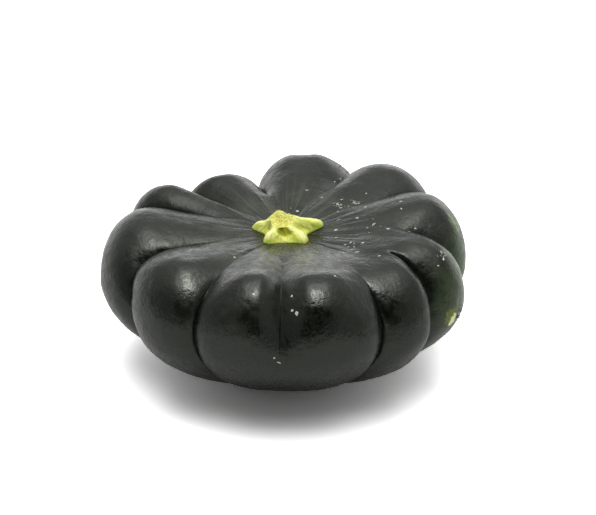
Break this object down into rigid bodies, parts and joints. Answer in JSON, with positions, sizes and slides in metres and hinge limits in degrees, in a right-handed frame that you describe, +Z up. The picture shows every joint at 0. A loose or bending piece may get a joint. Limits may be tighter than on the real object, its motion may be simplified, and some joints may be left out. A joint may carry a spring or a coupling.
{
  "type": "pattypan squash",
  "caption": "Flattened, deeply scalloped dark squash with a short star-shaped stub of stem, resting on the flat spot at its blossom end.",
  "frame": {"origin": "middle of the flat spot that the squash rests on, at its blossom end", "axes": "+Z up along the fruit's own axis towards the stem, -Y towards the viewer of the picture, +X to that viewer's right"},
  "size_m": [0.1298, 0.1319, 0.0587],
  "materials": {
    "fruit": "waxy near-black green rind, semi-gloss, with pale flecks and small scars",
    "stem": "fresh yellow-green stem, matt, with a torn straw-coloured top"
  },
  "bodies": {
    "root": {"fruit": "fruit", "stem": "stem"}
  },
  "joints": []
}
